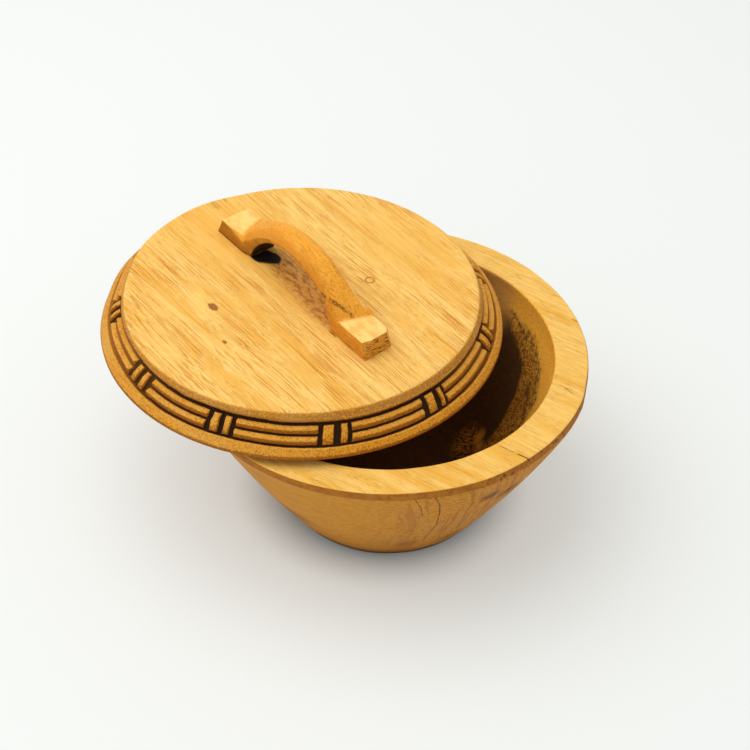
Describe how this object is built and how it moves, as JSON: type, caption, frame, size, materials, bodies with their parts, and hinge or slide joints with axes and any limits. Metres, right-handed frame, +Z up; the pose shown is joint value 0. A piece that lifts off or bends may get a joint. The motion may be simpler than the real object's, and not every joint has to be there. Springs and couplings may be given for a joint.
{
  "type": "lidded wooden bowl",
  "caption": "Round wooden bowl with a wide flat rim, a loose disc lid with a carved band and a bridge handle; the lid rests off-centre on the rim and lifts off.",
  "frame": {"origin": "centre of the bowl's flat foot, on the surface that it stands on", "axes": "+Z up along the bowl's turning axis; +Y is the way the picture looks and +X is to its right; the lid lies off to the -X side"},
  "size_m": [0.264, 0.236, 0.1565],
  "materials": {
    "bowl_wood": "satin oiled wood",
    "lid_wood": "satin oiled wood, dark carved band",
    "handle_wood": "satin oiled wood"
  },
  "bodies": {
    "bowl": {"bowl": "bowl_wood"},
    "lid": {"lid": "lid_wood", "handle": "handle_wood"}
  },
  "joints": [
    {"name": "lid_lift", "type": "slide", "parent": "bowl", "child": "lid", "axis": [0, 0, 1], "range_m": [0, 0.15]}
  ]
}
